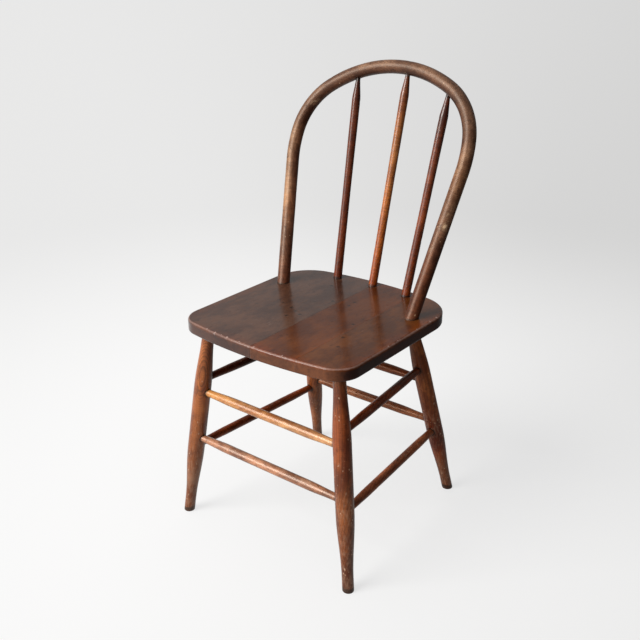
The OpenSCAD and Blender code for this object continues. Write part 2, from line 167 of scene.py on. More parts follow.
# The hoop's left and right sides go by height above the seat.
HOOP_STAINS = (
    (
        (0.00, 0.07, DEEP_RED, 0.8), (0.15, 0.04, BLEACHED, 0.5),
        (0.25, 0.06, RUBBED, 1.0), (0.35, 0.05, GRIME_AND_SHADE, 0.5),
    ),
    (
        (0.05, 0.10, GRIME_AND_SHADE, 0.9), (0.05, 0.10, DEEP_RED, 1.0),
        (0.25, 0.04, RUBBED, 1.5), (0.38, 0.06, GRIME_AND_SHADE, 0.8),
    ),
)
# Painted shade on the hoop: its inner side, that faces into the back, and its outer side, that faces away
# from it.
HOOP_INNER_SHADE = (0.55, 0.42, 0.38)
HOOP_OUTER_SHADE = (0.74, 0.72, 0.72)
HOOP_INNER_SHADE_LIMITS, HOOP_OUTER_SHADE_LIMITS = (-0.25, 0.85), (0.20, 0.85)
# The seat's tints: its front edge, painted as lit and with a painted reflection, its sides and back,
# painted in shade, the rim of its top, and a stripe beside a joint.
SEAT_FRONT_LIT_TINTS = {
    "seat_board_left": (0.7, 0.5, 0.4),
    "seat_board_middle": (1.3, 1.6, 2.5),
    "seat_board_right": (1.2, 1.2, 1.6),
}
SEAT_SIDE_SHADE = (0.36, 0.20, 0.14)
SEAT_RIM_TINT = (1.25, 1.00, 0.85)
SEAT_STRIPE, SEAT_STRIPE_W = 1.22, 0.014
SEAT_MIDDLE_LEVEL, SEAT_FRONT_LEVEL = 0.90, 1.18
SEAT_LEVEL_FRONT = -0.14
SEAT_RIM, SEAT_RIM_WANDER, SEAT_RIM_FINENESS = (0.030, 0.004), 0.010, 30
SEAT_FRONT_FROM, SEAT_FRONT_TO = -0.40 * SEAT_D, -0.47 * SEAT_D

# ---- Knocks, spots and rubbed places ----

# Small rubbed places on the hoop, scattered over the sides and the way that hands and walls meet it.
RUBS_EACH_SIDE = 6
RUB_HEIGHTS = (0.02, 0.36)
RUB_AZIMUTHS = (-30, 50)
RUB_REACH = (0.004, 0.012)
RUB_STRENGTH = (0.8, 1.0)
RUB_FACING = (0.78, 0.97)
RUB_SEED = 11
# Knocks that show bare wood lie along the front and right edges; dark spots lie on the top.
FRONT_KNOCKS, SIDE_KNOCKS, TOP_SPOTS = 9, 9, 12
KNOCK_SPAN = 0.30
KNOCK_INSET = 0.003
KNOCK_RADIUS = (0.0020, 0.0038)
KNOCK_RAGGED, KNOCK_FINENESS = 0.3, 400
SPOT_SPAN = 0.35
SPOT_RADIUS = (0.0012, 0.0022)
KNOCK_SEED = 5



# ---- Small helpers ----


def unit(v):
    """v at length 1."""
    v = np.asarray(v, float)
    return v / np.linalg.norm(v)


def unit_rows(vectors):
    """Each row at length 1."""
    return vectors / np.linalg.norm(vectors, axis=1)[:, None]


def ease(t):
    """A smooth step from 0 to 1."""
    return (1 - np.cos(np.pi * np.clip(t, 0, 1))) / 2


def smooth(low, high, value):
    """0 below low, 1 above high, and a smooth rise between them."""
    t = np.clip((value - low) / (high - low), 0, 1)
    return t * t * (3 - 2 * t)


def rough(points, scale, shift=0.0):
    """Smooth noise of about -1 to 1 at each point, for features of about 1 / scale metres."""
    spots = np.asarray(points) * scale + shift
    return np.array([noise.noise(p) for p in spots])


def polar(angle):
    """Across and up for an angle counted from straight up."""
    return np.array([math.sin(math.radians(angle)), math.cos(math.radians(angle))])


def arc(centre, r, first, last, step):
    """Points round an arc, no more than a step apart, without its last point."""
    steps = int(math.ceil(math.radians(abs(last - first)) * r / step))
    return [centre + r * polar(first + (last - first) * i / steps) for i in range(steps)]


def towards(azimuth, elevation=0.0):
    """A direction from the chair. Azimuth 0 is its front, and +90 its right side in a front view."""
    a, e = math.radians(azimuth), math.radians(elevation)
    return Vector((math.sin(a) * math.cos(e), -math.cos(a) * math.cos(e), math.sin(e)))


# ---- Reading the frame ----


def vertices(mesh):
    """The place of each of a mesh's vertices."""
    co = np.empty(len(mesh.vertices) * 3)
    mesh.vertices.foreach_get("co", co)
    return co.reshape(-1, 3)


def corners(node):
    """The corners of a CAD node's mesh, each place once."""
    return np.unique(vertices(NODES[node].data).round(6), axis=0)


def named(kind):
    """The CAD nodes of a kind."""
    return [n for n in NODES if n.startswith(kind)]


def middle(points):
    """The middle of the box round some points."""
    return (points.min(0) + points.max(0)) / 2


def rod_ends(node):
    """The middles of a straight rod's two ends, the lower or left or front one first."""
    p = corners(node)
    direction = np.linalg.svd(p - p.mean(0), full_matrices=False)[2][0]
    if direction[np.abs(direction).argmax()] < 0:
        direction = -direction
    along = p @ direction
    return middle(p[along < along.min() + MM]), middle(p[along > along.max() - MM])


def leg_ends(node):
    """The middle of a leg's foot on the floor, and the middle of its hidden upper end."""
    p = corners(node)
    return middle(p[p[:, 2] < MM / 10]), rod_ends(node)[1]


def centre_lines(kind):
    """The two ends of the centre line of each straight rod of a kind."""
    return [rod_ends(n) for n in named(kind)]


SEAT_MIDDLE = middle(np.array([corner for n in named("seat_board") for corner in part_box(n)])) * (1, 1, 0)


# ---- Making pieces ----


def add(name, data):
    """A new object in the scene."""
    thing = bpy.data.objects.new(name, data)
    bpy.context.scene.collection.objects.link(thing)
    return thing


def make_piece(node, verts, faces, grain, bare, nook, arris, tint):
    """A smooth shaded piece that replaces a CAD node, with what its material reads."""
    mesh = bpy.data.meshes.new(node + "_look")
    mesh.from_pydata([tuple(v) for v in verts], [], faces)
    mesh.shade_smooth()
    piece = add(node + "_look", mesh)
    bare = np.clip(bare, 0, 1)
    attributes = {"grain": grain, "bare": bare, "nook": nook, "arris": arris, "tint": tint}
    for name, values in attributes.items():
        values = np.asarray(values, np.float32)
        kind, key = ("FLOAT_VECTOR", "vector") if values.ndim == 2 else ("FLOAT", "value")
        mesh.attributes.new(name, kind, "POINT").data.foreach_set(key, values.ravel())
    mesh.materials.append(wood("wood_" + node, LOOKS[node]))
    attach(piece, "root")
    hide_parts(node)
    return piece


def tube_faces(rings, count):
    """Quads between neighbouring rings, and one face to close each end."""
    faces = []
    for k in range(0, (rings - 1) * count, count):
        for i in range(count):
            j = (i + 1) % count
            faces.append((k + i, k + j, k + count + j, k + count + i))
    faces.append(tuple(range(count - 1, -1, -1)))
    faces.append(tuple((rings - 1) * count + i for i in range(count)))
    return faces


# ---- Wear ----


def marks(points, seed, fineness, shift, low, high):
    """Separate marks, from 0 to 1."""
    return smooth(low, high, rough(points, fineness, seed + shift))


def patches(points, seed, amount, fineness, shift):
    """A drift to either side of 0."""
    return amount * rough(points, fineness, seed + shift)


def wave(points, seed, amount, fineness, shift):
    """A faint unevenness, never below 0."""
    return amount * (1 + rough(points, fineness, seed + shift))


def uneven(points, seed, drift):
    """A drift to either side of 1, as a colour's factor."""
    return 1 + patches(points, seed, *drift)[:, None]


def stained(places, stains):
    """The factor that a piece's stains put on its colour at each place."""
    tint = np.ones((len(places), 3))
    for peak, reach, stain, strength in stains:
        here = strength * np.exp(-(((places - peak) / reach) ** 2))
        tint = tint * (1 + here[:, None] * (np.array(stain) - 1))
    return np.maximum(tint, DARKEST_STAIN)


def from_segments(points, segments, radius):
    """Distance from the nearest of several straight rods of one radius."""
    best = np.full(len(points), FAR)
    for a, b in segments:
        axis = b - a
        t = np.clip((points - a) @ axis / (axis @ axis), 0, 1)
        gap = np.linalg.norm(points - a - t[:, None] * axis, axis=1) - radius
        best = np.minimum(best, gap)
    return np.maximum(best, 0)


# ---- Rods ----


class Rod:
    """Rings of points round a centre line, with two cross directions for each ring in frames."""

    def __init__(self, centres, radii, frames, along):
        turn = np.linspace(0, 2 * np.pi, ROUND_STEPS, endpoint=False)
        ring = np.stack([np.cos(turn), np.sin(turn)], 1)
        outward = np.einsum("ij,kjx->kix", ring, frames)
        points = centres[:, None] + radii[:, None, None] * outward
        cross = ring[None] * radii[:, None, None]
        lengthways = np.broadcast_to(along[:, None, None], (len(along), ROUND_STEPS, 1))
        self.rings = len(radii)
        self.points, self.outward = points.reshape(-1, 3), outward.reshape(-1, 3)
        self.grain = np.concatenate([cross, lengthways], 2).reshape(-1, 3)

    def make(self, node, seed, bare, nook, tint):
        """The piece, pressed in by small dents, and with its kind's patches and drift of colour."""
        kind = node.split("_")[0]
        bare = bare + patches(self.points, seed, *PATCHES[kind])
        tint = tint * uneven(self.points, seed, DRIFTS[kind])
        press = wave(self.points, seed, *ROD_WAVE) + DENT_DEPTH * marks(self.points, seed, *DENTS)
        verts = self.points - press[:, None] * self.outward
        faces = tube_faces(self.rings, ROUND_STEPS)
        return make_piece(node, verts, faces, self.grain, bare, nook, np.full(len(verts), FAR), tint)


def straight_rod(start, axis, s, radii):
    """A rod that runs from start along axis, with a radius at each distance s from the start."""
    side = unit(np.cross(axis, [0, 0, 1] if abs(axis[2]) < 0.7 else [0, 1, 0]))
    frames = np.broadcast_to(np.array([side, np.cross(axis, side)]), (len(s), 2, 3))
    return Rod(start + s[:, None] * axis, radii, frames, s)


def stations(start, stop, step=ROD_STEP):
    """Even places from start to stop, no more than a step apart."""
    return np.linspace(start, stop, max(2, int(math.ceil((stop - start) / step)) + 1))


def leg_radius(s, length):
    """A leg's radius at each place along it: a straight foot, a swell and a narrower neck."""
    swell = ease((s - LEG_FOOT_STRAIGHT) / LEG_LOWER_TAPER)
    narrow = ease((s - (length - LEG_NECK - LEG_UPPER_TAPER)) / LEG_UPPER_TAPER)
    return LEG_FOOT_D / 2 + (LEG_D - LEG_FOOT_D) / 2 * swell - (LEG_D - LEG_TOP_D) / 2 * narrow


def build_leg(node, seed):
    """A turned leg, rubbed low down on the side that faces the front right."""
    foot, top = leg_ends(node)
    axis = unit(top - foot)
    whole = np.linalg.norm(top - foot)
    s = np.concatenate([FOOT_RINGS, stations(FOOT_RINGS_END, whole)])
    rim = np.clip(1 - s / FOOT_ROUND, 0, 1)
    radii = leg_radius(s, whole - LEG_LET_IN)
    radii = radii - FOOT_ROUND * (1 - np.sqrt(np.clip(1 - rim**2, 0, 1)))
    leg = straight_rod(foot, axis, s, radii)
    points, outward, height = leg.points, leg.outward, leg.points[:, 2]
    shin = smooth(*SHIN_HEIGHTS, height) * smooth(-0.6, 0.6, outward[:, 0] - outward[:, 1])
    # Dirt with painted shade at the stretcher joints and under the seat; dirt alone at the foot.
    joints = from_segments(points, centre_lines("stretcher"), STRETCHER_END_D / 2)
    below_seat = np.abs(height - (SEAT_H - SEAT_T))
    above_band = np.maximum(height - FOOT_BAND, 0)
    nook = np.minimum(np.minimum(joints, below_seat), above_band)
    piece = leg.make(node, seed, SHIN_RUB * shin, nook, stained(height, LEG_STAINS[node]))
    level_foot(piece, foot, axis)


def level_foot(piece, foot, axis):
    """Shears a leg's straight foot, less and less upwards, so that it stands flat on the floor."""
    fade = LEG_FOOT_STRAIGHT
    for v in piece.data.vertices:
        offset = np.array(v.co) - foot
        s = offset @ axis
        if s < fade:
            side = offset - s * axis
            start = -side[2] / axis[2]
            v.co = Vector(foot + side + (start + s * (fade - start) / fade) * axis)


def build_stretcher(node, seed):
    """A turned stretcher, rubbed on top where feet have rested."""
    a, b = rod_ends(node)
    place, level = node.split("_")[1:]
    axis = unit(b - a)
    whole = np.linalg.norm(b - a)
    start = STRETCHER_REACH + LEG_D / 2 + STRETCHER_COLLAR
    s = stations(0, whole)
    swell = ease((np.minimum(s, whole - s) - start) / STRETCHER_TAPER)
    radii = (STRETCHER_END_D + (STRETCHER_D[place] - STRETCHER_END_D) * swell) / 2
    stretcher = straight_rod(a, axis, s, radii)
    points = stretcher.points
    along = (points - a) @ axis
    top = smooth(0.0, 0.9, stretcher.outward[:, 2])
    between = smooth(*TREAD_FROM_ENDS, np.minimum(along, (b - points) @ axis))
    tread = TREAD[place] * TREAD[level] * top * between
    # Dirt with painted shade where the stretcher meets the legs.
    nook = from_segments(points, [leg_ends(n) for n in named("leg")], LEG_D / 2)
    stretcher.make(node, seed, tread, nook, stained(along / whole, STRETCHER_STAINS.get(node, ())))


def build_spindle(node, seed):
    """A turned spindle that ends in a cone. Its shoulder's height is read from the CAD node."""
    a, b = rod_ends(node)
    axis = unit(b - a)
    p = corners(node) - a
    s_all = p @ axis
    r_all = np.linalg.norm(p - s_all[:, None] * axis, axis=1)
    shoulder = s_all[r_all > SHOULDER_OUT * SPINDLE_SHOULDER_D].max()
    cone_end = shoulder + SPINDLE_CONE
    whole = np.linalg.norm(b - a)
    s = np.concatenate([stations(0, shoulder - 2 * MM), stations(shoulder - MM, whole, TIP_STEP)])
    half = (shoulder - SPINDLE_LET_IN) / 2
    visible = s - SPINDLE_LET_IN
    d = SPINDLE_BASE_D + (SPINDLE_WAIST_D - SPINDLE_BASE_D) * ease(visible / half)
    d = d + (SPINDLE_SHOULDER_D - SPINDLE_WAIST_D) * ease((visible - half) / half)
    cone = np.clip((s - shoulder) / SPINDLE_CONE, 0, 1)
    narrowed = CONE_STRAIGHT * cone + (1 - CONE_STRAIGHT) * ease(cone)
    d = d - (SPINDLE_SHOULDER_D - SPINDLE_TIP_D) * narrowed
    spindle = straight_rod(a, axis, s, d / 2)
    points = spindle.points
    along = (points - a) @ axis
    front = SPINDLE_FRONT_RUB * smooth(0.2, 0.9, -spindle.outward[:, 1])
    # Dirt with painted shade where the spindle enters the seat and the hoop.
    nook = np.maximum(np.minimum(along - SPINDLE_LET_IN, cone_end - along), 0)
    share = (along - SPINDLE_LET_IN) / (cone_end - SPINDLE_LET_IN)
    stains = (SPINDLE_FOOT_STAIN, SPINDLE_TOP_STAIN) + SPINDLE_STAINS[node]
    spindle.make(node, seed, front, nook, stained(share, stains))


# ---- Hoop ----


def hoop_bends():
    """Centre, radius and the first and last angle of the crown, a shoulder and a side bend."""
    foot_u = SEAT_W / 2 - HOOP_SIDE_INSET
    end = CROWN_SWEEP + SHOULDER_SWEEP
    side_end = 90 + TOE_IN
    bend = SHOULDER_R * (polar(end) - polar(CROWN_SWEEP)) + SIDE_R * (polar(side_end) - polar(end))
    slope = polar(side_end)[1] / polar(side_end)[0]
    crown_r = (foot_u - bend[0] - (HOOP_RISE + bend[1]) * slope) / (
        polar(CROWN_SWEEP)[0] - (1 - polar(CROWN_SWEEP)[1]) * slope
    )
    crown = np.array([0, HOOP_RISE - crown_r])
    shoulder = crown + (crown_r - SHOULDER_R) * polar(CROWN_SWEEP)
    side = shoulder + (SHOULDER_R - SIDE_R) * polar(end)
    return [
        (crown, crown_r, 0, CROWN_SWEEP),
        (shoulder, SHOULDER_R, CROWN_SWEEP, end),
        (side, SIDE_R, end, side_end),
    ]


def hoop_run():
    """Where the hoop's right side becomes straight, and the way that it then runs down."""
    centre, r, _, last = hoop_bends()[-1]
    return centre + r * polar(last), -polar(last - 90)


def hoop_foot(side):
    """Where one side of the hoop meets the seat, across and up in the hoop's plane."""
    start, heading = hoop_run()
    p = start + heading * (start[1] / -heading[1])
    return np.array([side * p[0], p[1]])


def hoop_half():
    """Points down one half of the hoop's centre line, across and up, from its top to its foot."""
    line = []
    for centre, r, first, last in hoop_bends():
        line += arc(centre, r, first, last, ROD_STEP)
    start, heading = hoop_run()
    run = (start[1] + HOOP_PAST_SEAT * SEAT_T) / -heading[1]
    line += [start + heading * d for d in stations(0, run)]
    return line


def in_space(p):
    """A point of the hoop's plane, across and up, in the shared frame."""
    lean, tilt = math.radians(HOOP_LEAN), math.radians(HOOP_TILT)
    across = p[0] * math.cos(lean) - p[1] * math.sin(lean)
    up = p[0] * math.sin(lean) + p[1] * math.cos(lean)
    return SEAT_MIDDLE + [
        across,
        SEAT_D / 2 - HOOP_INSET + up * math.sin(tilt),
        SEAT_H + up * math.cos(tilt),
    ]


def scattered_rubs():
    """Rubbed places as side, height above the seat, azimuth that they face, reach and strength."""
    dice = random.Random(RUB_SEED)
    rubs = []
    for side in (-1, 1):
        for _ in range(RUBS_EACH_SIDE):
            height = dice.uniform(*RUB_HEIGHTS)
            azimuth = dice.uniform(*RUB_AZIMUTHS)
            rubs.append((side, height, azimuth, dice.uniform(*RUB_REACH), dice.uniform(*RUB_STRENGTH)))
    return rubs


def build_hoop(node, seed):
    """The bent hoop, in its leaning plane, with its ends cut level under the seat."""
    half = hoop_half()
    outline = [np.array([-p[0], p[1]]) for p in reversed(half[1:])] + half
    line = np.array([in_space(p) for p in outline])
    tangent = unit_rows(np.gradient(line, axis=0))
    out = unit(np.cross(in_space((1, 0)) - in_space((0, 0)), in_space((0, 1)) - in_space((0, 0))))
    frames = np.stack([np.cross(tangent, out), np.broadcast_to(out, line.shape)], 1)
    along = np.concatenate([[0], np.cumsum(np.linalg.norm(np.diff(line, axis=0), axis=1))])
    from_top = np.abs(along - along[len(along) // 2])
    radii = HOOP_D / 2 - (HOOP_D - HOOP_FOOT_D) / 2 * smooth(0, from_top.max(), from_top)
    hoop = Rod(line, radii, frames, along)
    points, outward, height = hoop.points, hoop.outward, hoop.points[:, 2] - SEAT_H

    bare = np.zeros(len(points))
    for side, rub_height, azimuth, reach, strength in scattered_rubs():
        beside = (points[:, 0] - SEAT_MIDDLE[0]) * side > 0
        near = np.exp(-(((height - rub_height) / reach) ** 2))
        turned = smooth(*RUB_FACING, outward @ np.array(towards(azimuth)))
        bare = np.maximum(bare, strength * near * turned * beside)
    # Dirt with painted shade where the hoop enters the seat and meets the spindles.
    spindles = from_segments(points, centre_lines("spindle"), SPINDLE_TIP_D / 2)
    nook = np.minimum(np.maximum(height, 0), spindles)

    left, right = (stained(height, stains) for stains in HOOP_STAINS)
    sides = np.where(points[:, :1] > SEAT_MIDDLE[0], right, left)
    # Painted shade: the hoop's inner and outer sides are darkened in its tint.
    heart = in_space((0, HOOP_RISE / 2))
    inward = np.einsum("ij,ij->i", outward, unit_rows(heart - points))[:, None]
    inner = 1 + smooth(*HOOP_INNER_SHADE_LIMITS, inward) * (np.array(HOOP_INNER_SHADE) - 1)
    outer_shade = 1 + smooth(*HOOP_OUTER_SHADE_LIMITS, -inward) * (np.array(HOOP_OUTER_SHADE) - 1)
    mesh = hoop.make(node, seed, bare, nook, sides * inner * outer_shade).data
    cut_mesh(mesh, mesh, [((0, 0, SEAT_H - SEAT_T - HOOP_END_BELOW_SEAT), (0, 0, -1))])


def cut_mesh(source, target, planes):
    """Cuts away what lies outward of each plane, and closes what the cuts leave open."""
    work = bmesh.new()
    work.from_mesh(source)
    for point, outward in planes:
        whole = work.verts[:] + work.edges[:] + work.faces[:]
        cut = bmesh.ops.bisect_plane(work, geom=whole, plane_co=point, plane_no=outward, clear_outer=True)
        edges = [e for e in cut["geom_cut"] if isinstance(e, bmesh.types.BMEdge)]
        bmesh.ops.edgeloop_fill(work, edges=edges)
    work.to_mesh(target)
    work.free()


# ---- Seat ----


def quarter(w, d, corner_r, bow_r):
    """A quarter of the seat's outline: the half side, the corner, then half of the bowed edge."""
    corner_x = w - corner_r
    bow_y = d - bow_r
    corner_y = bow_y + math.sqrt((bow_r - corner_r) ** 2 - corner_x**2)
    join = math.degrees(math.atan2(corner_y - bow_y, corner_x))
    side = [np.array([w, y]) for y in stations(0, corner_y, WALL_STEP)[:-1]]
    corner = arc(np.array([corner_x, corner_y]), corner_r, 90, 90 - join, WALL_STEP)
    bow = arc(np.array([0, bow_y]), bow_r, 90 - join, 0, WALL_STEP)
    return side + corner + bow + [np.array([0, d])]


def seat_outline():
    """The seat's outline at its widest, anticlockwise from the middle of the right side."""
    back = quarter(SEAT_W / 2, SEAT_D / 2, BACK_CORNER_R, BACK_BOW_R)
    front = quarter(SEAT_W / 2, SEAT_D / 2, FRONT_CORNER_R, FRONT_BOW_R)
    left_back = [p * (-1, 1) for p in reversed(back[1:-1])]
    left_front = [-p for p in front]
    right_front = [p * (1, -1) for p in reversed(front[1:-1])]
    return np.array(back + left_back + left_front + right_front)


def outline_normals(loop):
    """The outward direction at each point of the seat's outline."""
    along = unit_rows(np.roll(loop, -1, 0) - np.roll(loop, 1, 0))
    return np.stack([along[:, 1], -along[:, 0]], 1)


def round_over(radius, rings):
    """A quarter round as pairs of inset and distance from the face, from the face to the wall."""
    angles = np.linspace(0, np.pi / 2, rings)
    return [(radius * (1 - math.sin(a)), radius * (1 - math.cos(a))) for a in angles]


def wall_levels():
    """Inset and height of each ring of the seat's wall, from its underside to its top."""
    lower = round_over(BOTTOM_ROUND, BOTTOM_ROUND_RINGS)
    side = [(0.0, z) for z in stations(BOTTOM_ROUND, SEAT_T - TOP_ROUND, WALL_RISE)[1:-1]]
    upper = [(inset, SEAT_T - down) for inset, down in reversed(round_over(TOP_ROUND, TOP_ROUND_RINGS))]
    inner = [(TOP_ROUND + TOP_STEP * (i + 1), SEAT_T) for i in range(TOP_RINGS)]
    below = [(BOTTOM_ROUND + 2 * TOP_STEP, 0.0)]
    return below + lower + side + upper + inner


def fill_loop(loop, flip):
    """Inner points and triangles that fill a closed loop, on a grid that is finer beside the joints."""
    low, high = loop.min(0), loop.max(0)
    xs = set(np.arange(low[0], high[0], TOP_STEP).round(5))
    joints = (LEFT_JOINT, RIGHT_JOINT)
    xs = [x for x in xs if min(abs(x - j) for j in joints) > TOP_STEP / 2]
    xs += [j + side * w for j in joints for side in (-1, 1) for w in (GLUE_LINE, GROOVE_W, BESIDE_JOINT)]
    ys = np.arange(low[1], high[1], TOP_STEP)
    grid = np.array([(x, y) for x in sorted(xs) for y in ys])
    from_loop = np.array([np.abs(loop - p).max(1).min() for p in grid])
    inside = inside_loop(grid, loop) & (from_loop > CLOSE_TO_LOOP)
    points = [Vector(p) for p in np.concatenate([loop, grid[inside]])]
    rim = list(range(len(loop)))
    edges = [(i, (i + 1) % len(loop)) for i in rim]
    _, _, faces, origins, _, _ = delaunay_2d_cdt(points, edges, [], 1, 1e-7)
    order = {k: o[0] for k, o in enumerate(origins) if o}
    faces = [tuple(order[i] for i in f) for f in faces]
    if flip:
        faces = [tuple(reversed(f)) for f in faces]
    return grid[inside], faces


def inside_loop(points, loop):
    """Whether each point lies inside a closed loop, by counting the edges to its right."""
    inside = np.zeros(len(points), bool)
    for a, b in zip(loop, np.roll(loop, -1, 0)):
        if a[1] != b[1]:
            crosses = (a[1] > points[:, 1]) != (b[1] > points[:, 1])
            reach = a[0] + (points[:, 1] - a[1]) * (b[0] - a[0]) / (b[1] - a[1])
            inside ^= crosses & (points[:, 0] < reach)
    return inside


def seat_mesh():
    """The whole seat as one closed mesh, in its own frame with its underside at height 0."""
    loop = seat_outline()
    normals = outline_normals(loop)
    levels = wall_levels()
    rings = [loop - inset * normals for inset, _ in levels]
    wall = [np.column_stack([ring, np.full(len(ring), z)]) for ring, (_, z) in zip(rings, levels)]
    count = len(loop)
    verts = np.concatenate(wall)
    faces = tube_faces(len(rings), count)[:-2]
    top = (rings[-1], (len(rings) - 1) * count, SEAT_T, False)
    underside = (rings[0], 0, 0.0, True)
    for ring, first, height, flip in (top, underside):
        offset = len(verts) - count
        inner, fill = fill_loop(ring, flip)
        faces += [tuple(i + (first if i < count else offset) for i in f) for f in fill]
        verts = np.concatenate([verts, np.column_stack([inner, np.full(len(inner), height)])])
    return verts, faces, loop


def arris_distance(verts, loop):
    """Distance from the upper arris, measured round the section of the seat."""
    inset = np.full(len(verts), FAR)
    for k in range(0, len(verts), BATCH):
        part = verts[k : k + BATCH, None, :2] - loop[None]
        inset[k : k + BATCH] = np.linalg.norm(part, axis=2).min(1)
    down = SEAT_T - verts[:, 2]
    arris = ARRIS_SHARE * TOP_ROUND
    return np.hypot(np.maximum(inset - arris, 0), np.maximum(down - arris, 0))


def worn_seat(verts, loop):
    """The seat's points, pressed in where it is worn."""
    arris = arris_distance(verts, loop)
    outward = np.zeros_like(verts)
    reach = np.linalg.norm(verts[:, :2], axis=1)[:, None]
    outward[:, :2] = verts[:, :2] / np.maximum(reach, MM)
    edge = smooth(NICK_REACH, 0.0, arris)[:, None]
    nick = marks(verts, 0, *NICKS) * marks(verts, 0, *NICK_PATCHES)
    top = smooth(*(SEAT_T - depth for depth in TOP_FACE), verts[:, 2])
    dent = TOP_DENT_DEPTH * marks(verts, 0, *TOP_DENTS) + wave(verts, 0, *TOP_WAVE)
    joint = np.minimum(np.abs(verts[:, 0] - LEFT_JOINT), np.abs(verts[:, 0] - RIGHT_JOINT))
    groove = GROOVE_DEPTH * smooth(GROOVE_W, GLUE_LINE, joint)
    moved = verts - outward * edge * (nick * NICK_INWARD)[:, None]
    moved[:, 2] -= edge[:, 0] * nick * NICK_DOWN + top * (dent + groove) * (1 - edge[:, 0])
    return moved


def build_seat():
    """The three boards, cut from one worn seat so that its outline and wear run on across them."""
    verts, faces, loop = seat_mesh()
    whole = bpy.data.meshes.new("seat")
    whole.from_pydata([tuple(v) for v in worn_seat(verts, loop)], [], faces)
    half_glue = GLUE_LINE / 2
    cuts = {
        "seat_board_left": [((LEFT_JOINT - half_glue, 0, 0), (1, 0, 0))],
        "seat_board_middle": [
            ((LEFT_JOINT + half_glue, 0, 0), (-1, 0, 0)),
            ((RIGHT_JOINT - half_glue, 0, 0), (1, 0, 0)),
        ],
        "seat_board_right": [((RIGHT_JOINT + half_glue, 0, 0), (-1, 0, 0))],
    }
    spindles = centre_lines("spindle")
    feet = [in_space(foot) for foot in (hoop_foot(-1), hoop_foot(1))]
    knocks, spots = scattered_knocks()
    for k, (node, planes) in enumerate(cuts.items()):
        board = bpy.data.meshes.new("board")
        cut_mesh(whole, board, planes)
        co = vertices(board)
        faces = [tuple(p.vertices) for p in board.polygons]
        placed = co + SEAT_MIDDLE + (0, 0, SEAT_H - SEAT_T)
        # Dirt with painted shade round the spindles and the hoop's feet; the spots below are dirt.
        nook = from_segments(placed, spindles, SPINDLE_BASE_D / 2)
        for foot in feet:
            from_hoop = np.linalg.norm(placed - foot, axis=1) - HOOP_FOOT_D / 2
            nook = np.minimum(nook, np.maximum(from_hoop, 0))
        bare = patches(placed, 0, *SEAT_PATCHES)
        for *place, radius in knocks:
            ragged = KNOCK_RAGGED * radius * rough(placed, KNOCK_FINENESS, 8.0)
            from_knock = np.linalg.norm(co - place, axis=1) + ragged
            bare = np.maximum(bare, smooth(radius, 0.5 * radius, from_knock))
        for *place, radius in spots:
            from_spot = np.linalg.norm(co - place, axis=1) - radius
            nook = np.minimum(nook, np.maximum(from_spot, 0))
        grain = np.column_stack([co[:, 0], co[:, 2], co[:, 1]]) + (0.3 * k, 0, 0.2 * k)
        tint = seat_tint(node, co, placed)
        make_piece(node, placed, faces, grain, bare, nook, arris_distance(co, loop), tint)


def scattered_knocks():
    """Knocks and spots, each as across, back, height above the underside and radius."""
    dice = random.Random(KNOCK_SEED)
    heights = (SEAT_T, SEAT_T, 0.6 * SEAT_T)
    knocks = []
    for _ in range(FRONT_KNOCKS):
        across = dice.uniform(-KNOCK_SPAN, KNOCK_SPAN) * SEAT_W
        bow = FRONT_BOW_R - math.sqrt(FRONT_BOW_R**2 - across**2)
        back = bow + KNOCK_INSET - SEAT_D / 2
        knocks.append((across, back, dice.choice(heights), dice.uniform(*KNOCK_RADIUS)))
    for _ in range(SIDE_KNOCKS):
        back = dice.uniform(-KNOCK_SPAN, KNOCK_SPAN) * SEAT_D
        knocks.append((SEAT_W / 2 - KNOCK_INSET, back, dice.choice(heights), dice.uniform(*KNOCK_RADIUS)))
    spots = []
    for _ in range(TOP_SPOTS):
        across = dice.uniform(-SPOT_SPAN, SPOT_SPAN) * SEAT_W
        back = dice.uniform(-SPOT_SPAN, SPOT_SPAN) * SEAT_D
        spots.append((across, back, SEAT_T, dice.uniform(*SPOT_RADIUS)))
    return knocks, spots


def seat_tint(node, co, placed):
    """A seat board's drift of colour: redder at the rim, with painted shade round the sides and back and a
    painted lit tone on the front edge.
    """
    down = SEAT_T - co[:, 2]
    edge = smooth(TOP_ROUND * 0.5, TOP_ROUND * 1.5, down)[:, None]
    inside = np.minimum(SEAT_W / 2 - np.abs(co[:, 0]), SEAT_D / 2 - np.abs(co[:, 1]))
    wander = SEAT_RIM_WANDER * rough(placed, SEAT_RIM_FINENESS, 5.0)
    rim = smooth(*SEAT_RIM, inside + wander)[:, None]
    # Painted light and reflection on the front edge, painted shade on the sides and back.
    front = smooth(SEAT_FRONT_FROM, SEAT_FRONT_TO, co[:, 1])[:, None]
    lit_and_shaded_edge = np.array(SEAT_SIDE_SHADE) + front * (np.array(SEAT_FRONT_LIT_TINTS[node]) - SEAT_SIDE_SHADE)
    forward = smooth(0.0, SEAT_LEVEL_FRONT, co[:, 1])
    level = SEAT_MIDDLE_LEVEL + forward * (SEAT_FRONT_LEVEL - SEAT_MIDDLE_LEVEL)
    tint = level[:, None] * (1 + rim * (np.array(SEAT_RIM_TINT) - 1))
    beside_joint = smooth(SEAT_STRIPE_W, 0, RIGHT_JOINT - co[:, 0]) * (co[:, 0] < RIGHT_JOINT)
    tint = tint * (1 + beside_joint * (SEAT_STRIPE - 1))[:, None]
    tint = tint + edge * (lit_and_shaded_edge - tint)
    return tint * uneven(placed, 0, SEAT_DRIFT)


# ---- Materials ----


